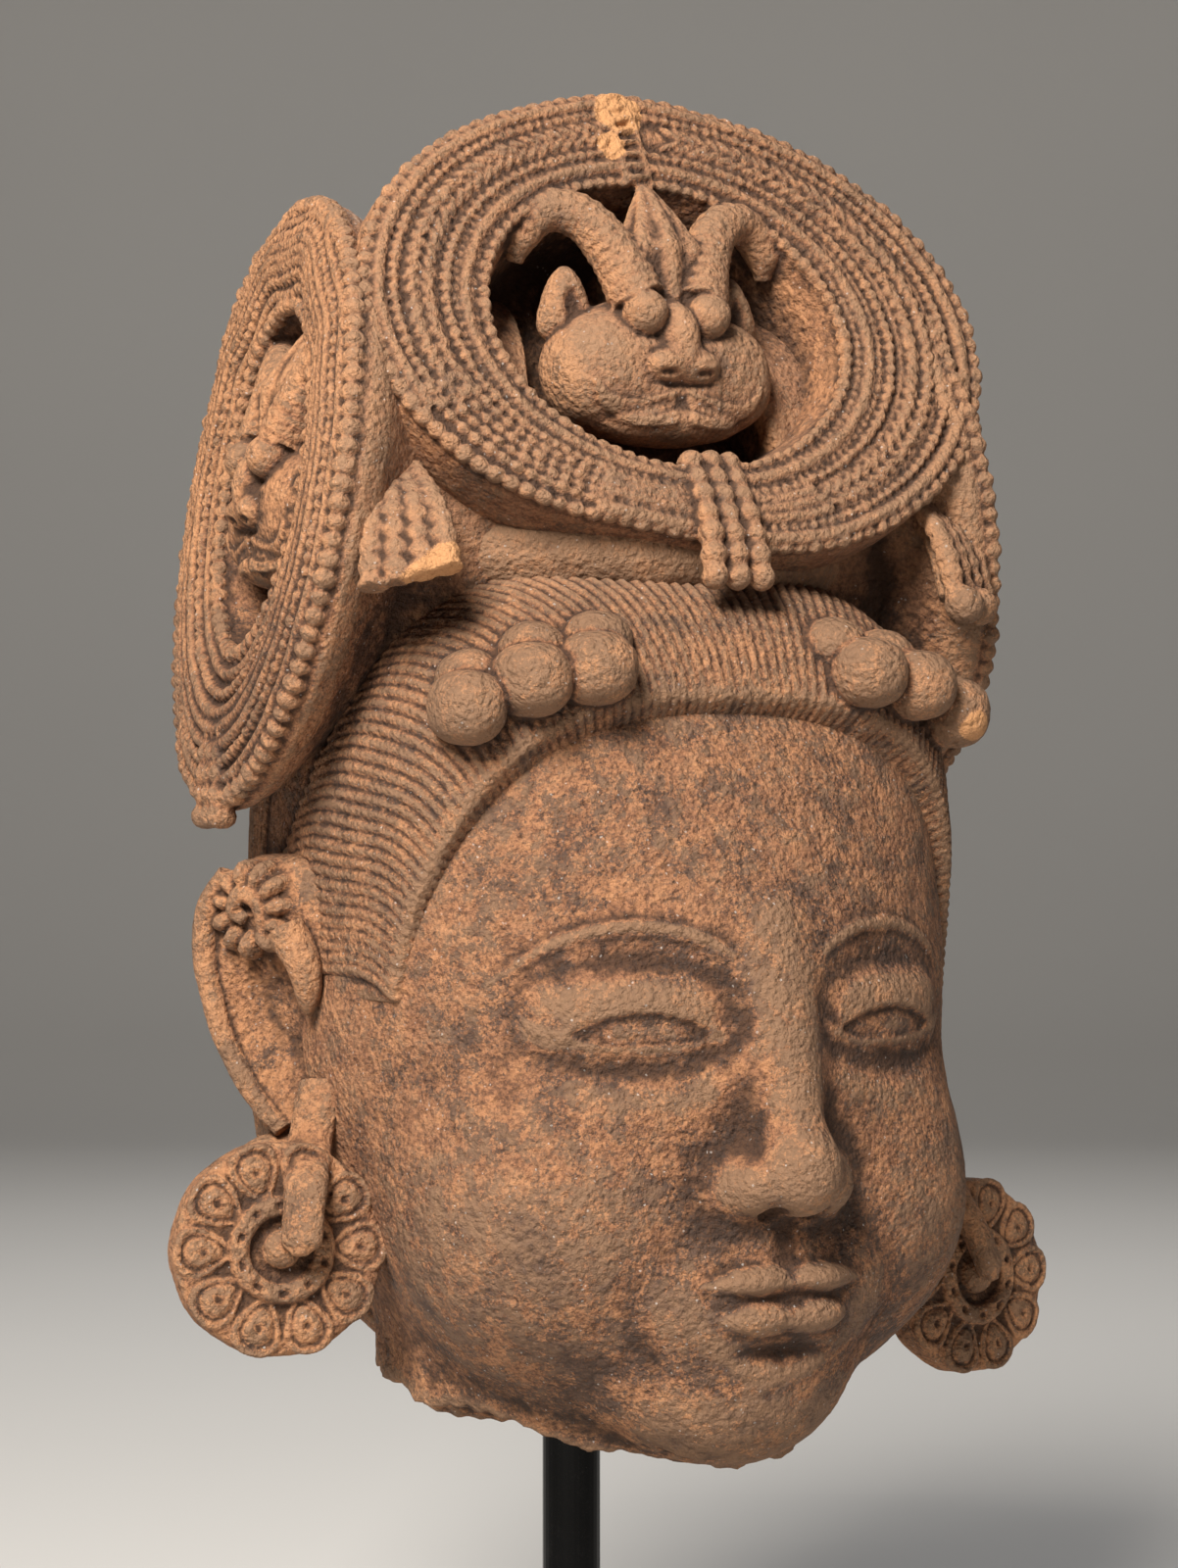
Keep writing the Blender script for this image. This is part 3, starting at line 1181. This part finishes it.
STONE_RED, STONE_ORANGE, STONE_DEEP = (0.25, 0.112, 0.056), (0.40, 0.188, 0.086), (0.10, 0.046, 0.027)
SLATE, DUST, PALE_BREAK = (0.040, 0.027, 0.022), (0.30, 0.170, 0.098), (0.44, 0.22, 0.096)
DIRT, RUBBED, CRYSTAL = (0.026, 0.013, 0.008), (0.45, 0.25, 0.13), (0.6, 0.57, 0.54)


def sandstone_finish():
    material, work, place = new_material("sandstone")
    hollow, fresh, dusty, ochre, slate = (value_of(work, name)
                                          for name in ("hollow", "fresh", "dusty", "ochre", "slate"))
    high = work.math("MAXIMUM", work.math("MULTIPLY", hollow, -1.0), 0.0)
    deep = work.math("MAXIMUM", hollow, 0.0)

    # Red and orange stone, with dark grains and orange flecks
    tint = work.math("ADD", work.math("MULTIPLY", noise(work, place, 42.0, 5.0, 0.65), 1.5),
                     work.math("SUBTRACT", ochre, 1.05), clamp=True)
    colour = mixed(work, tint, STONE_RED, STONE_ORANGE)
    grains = smooth_step(work, noise(work, place, 900.0, 4.0, 0.8), 0.45, 0.56)
    colour = mixed(work, work.math("MULTIPLY", grains, 0.85), colour, STONE_DEEP)
    flecks = group_node(work, patches, Place=place, Scale=240.0, Amount=work.math(
        "ADD", work.math("MULTIPLY", ochre, 0.5), 0.14), Edge=0.03)
    colour = mixed(work, work.math("MULTIPLY", flecks, 0.7), colour, STONE_ORANGE)

    # The dark patina, dust, dirt in the hollows and rubbed edges
    dark = group_node(work, patches, Place=place, Scale=86.0, Edge=0.03, Amount=work.math(
        "ADD", slate, work.math("SUBTRACT", work.math("MULTIPLY", high, 0.3), 0.2)))
    colour = mixed(work, work.math("MULTIPLY", dark, 0.8), colour, SLATE)
    film = group_node(work, patches, Place=place, Scale=33.0, Edge=0.14, Amount=work.math(
        "ADD", dusty, work.math("MULTIPLY", deep, 0.25)))
    colour = mixed(work, work.math("MULTIPLY", film, work.math("ADD", work.math(
        "MULTIPLY", dusty, 0.35), 0.03)), colour, DUST)
    colour = mixed(work, work.math("MULTIPLY", deep, 0.85, clamp=True), colour, DIRT)
    colour = mixed(work, work.math("MULTIPLY", high, 0.3), colour, RUBBED)

    # Fresh pale breaks, bright crystals and the grain
    broken = group_node(work, patches, Place=place, Scale=150.0, Edge=0.05, Amount=work.math(
        "SUBTRACT", work.math("MULTIPLY", fresh, 3.2), 1.1))
    colour = mixed(work, broken, colour, PALE_BREAK)
    height, crystals = group_node(work, grain, out=None, Place=place, Size=0.0009)
    colour = mixed(work, work.math("MULTIPLY", crystals, 0.35), colour, CRYSTAL)
    roughness = work.math("SUBTRACT", 0.93, work.math("ADD", work.math("MULTIPLY", dark, 0.16),
                                                      work.math("MULTIPLY", crystals, 0.35)))
    bumped = work.add("ShaderNodeBump", Strength=1.0, Distance=0.0016, Height=height)
    finish_material(work, Base_Color=colour, Roughness=roughness, Normal=bumped, Specular_IOR_Level=0.35)
    return material


def painted_finish(name, colour, dusted, roughness, size, shine):
    """Black paint on steel, with faint unevenness and a little dust"""
    material, work, place = new_material(name)
    height, _ = group_node(work, grain, out=None, Place=place, Size=size)
    specks = group_node(work, patches, Place=place, Scale=90.0, Amount=dusted, Edge=0.12)
    shade = mixed(work, work.math("MULTIPLY", specks, 0.05), colour, (0.3, 0.28, 0.26))
    rough = work.math("ADD", roughness, work.math("MULTIPLY", specks, 0.12))
    bumped = work.add("ShaderNodeBump", Strength=0.08, Distance=0.0002, Height=height)
    finish_material(work, Base_Color=shade, Roughness=rough, Normal=bumped, Specular_IOR_Level=shine)
    return material


patches, grain = patches_group(), grain_group()
sandstone = sandstone_finish()
gloss_black = painted_finish("gloss_black", (0.002, 0.002, 0.0022), dusted=0.1, roughness=0.1, size=0.004,
                             shine=0.08)
satin_black = painted_finish("satin_black", (0.012, 0.012, 0.013), dusted=0.45, roughness=0.42, size=0.0008,
                             shine=0.4)
bead_row, rib, petal_ring = bead_row_tree(), rib_tree(), petal_ring_tree()

# The pieces: what each is carved from, the size of its work in millimetres, its softening and most faces
PIECES = {
    "face_and_neck": (face_and_neck, 0.75, 2, 165_000),
    "ears": (ears, 0.5, 1, 150_000),
    "hair": (hair, 0.58, 0, 185_000),
    "crown_core": (lambda: [*crown_core(), rear_boss(), *bundle(-1), *bundle(1)], 0.8, 1, 70_000),
    "front_roundel": (front_roundel, 0.6, 1, 192_000),
    "right_roundel": (lambda: side_roundel_shells(-1), 0.65, 1, 130_000),
    "left_roundel": (lambda: side_roundel_shells(1), 0.8, 1, 90_000),
}


def make_stone():
    for name, (shells, voxel, softening, most_faces) in PIECES.items():
        piece = fused(name, shells(), voxel, softening, round(most_faces * FACES_KEPT))
        if name == "ears":
            for side in (-1, 1):
                pressed_in(piece.data, ring_pits(side), PIT_RADIUS, PIT_DEPTH)
        mark_wear(piece)
        piece.data.materials.clear()
        piece.data.materials.append(sandstone)
        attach(piece, "root")
        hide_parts("stone_head")


def dress_node(node, material):
    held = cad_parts[node]
    if not held.material_slots:
        held.data.materials.append(material)
    for slot in held.material_slots:
        slot.link = "OBJECT"
        slot.material = material


# The studio: a pale floor that curves up behind, soft light from the camera's left, and the camera
def studio_floor():
    run = np.linspace(0, math.pi / 2, 24)
    radius, back = 1.2, 2.2
    curve = [(0, -6.0, 0.0), *((0, back + radius * math.sin(a), radius * (1 - math.cos(a))) for a in run),
             (0, back + radius, 5.0)]
    turn = math.radians(28)
    points, faces = [], []
    for _, away, z in curve:
        for side in (-7, 7):
            points.append((side * math.cos(turn) + away * math.sin(turn),
                           -side * math.sin(turn) + away * math.cos(turn), z))
    for i in range(len(curve) - 1):
        faces.append((2 * i, 2 * i + 1, 2 * i + 3, 2 * i + 2))
    mesh = bpy.data.meshes.new("floor")
    mesh.from_pydata(points, [], faces)
    mesh.shade_smooth()
    material, work, place = new_material("pale_floor")
    tone = mixed(work, noise(work, place, 1.3, 2.0), (0.60, 0.585, 0.565), (0.66, 0.645, 0.62))
    finish_material(work, Base_Color=tone, Roughness=0.9)
    mesh.materials.append(material)
    new_object("floor", mesh)


LIGHT_AIM = Vector((0, 0, 0.32))


def soft_light(name, azimuth, elevation, distance, size, power, colour=(1, 1, 1)):
    """An area light seen from the object at an azimuth left of the camera's axis"""
    lamp = bpy.data.lights.new(name, "AREA")
    lamp.shape, lamp.size, lamp.size_y = "RECTANGLE", *size
    lamp.energy, lamp.color = power, colour
    turn, rise = math.radians(azimuth), math.radians(elevation)
    away = Vector((math.sin(turn) * math.cos(rise), -math.cos(turn) * math.cos(rise), math.sin(rise)))
    placed_lamp = new_object(name, lamp)
    placed_lamp.location = LIGHT_AIM + away * distance
    placed_lamp.rotation_euler = (-away).to_track_quat("-Z", "Y").to_euler()


CAMERA_TURN, CAMERA_AWAY, CAMERA_SHIFT, CAMERA_HEIGHT, LENS = 28, 1.0266, 0.0049, 190, 85


def studio_camera():
    turn = math.radians(CAMERA_TURN)
    towards = Vector((-math.sin(turn), -math.cos(turn), 0))
    right = Vector((math.cos(turn), -math.sin(turn), 0))
    view = bpy.data.cameras.new("camera")
    view.lens, view.sensor_width = LENS, 36
    camera = new_object("camera", view)
    height = (STONE_FOOT + CAMERA_HEIGHT) * MM
    camera.location = right * CAMERA_SHIFT + towards * CAMERA_AWAY + Vector((0, 0, height))
    camera.rotation_euler = (-towards).to_track_quat("-Z", "Y").to_euler()
    bpy.context.scene.camera = camera


def studio_world():
    world = bpy.data.worlds.new("studio")
    world.use_nodes = True
    background = world.node_tree.nodes["Background"]
    background.inputs["Color"].default_value = (0.75, 0.8, 0.9, 1)
    background.inputs["Strength"].default_value = 0.06
    bpy.context.scene.world = world
    bpy.context.scene.view_settings.view_transform = "Standard"


make_stone()
dress_node("post", gloss_black)
dress_node("foot", satin_black)
studio_floor()
soft_light("key", -46, 36, 1.6, (0.5, 0.6), 64, (1, 0.95, 0.88))
soft_light("fill", 30, 10, 2.4, (1.2, 1.2), 2.5, (0.95, 0.97, 1))
soft_light("back", 150, 40, 1.8, (0.6, 1.0), 10)
studio_world()
studio_camera()
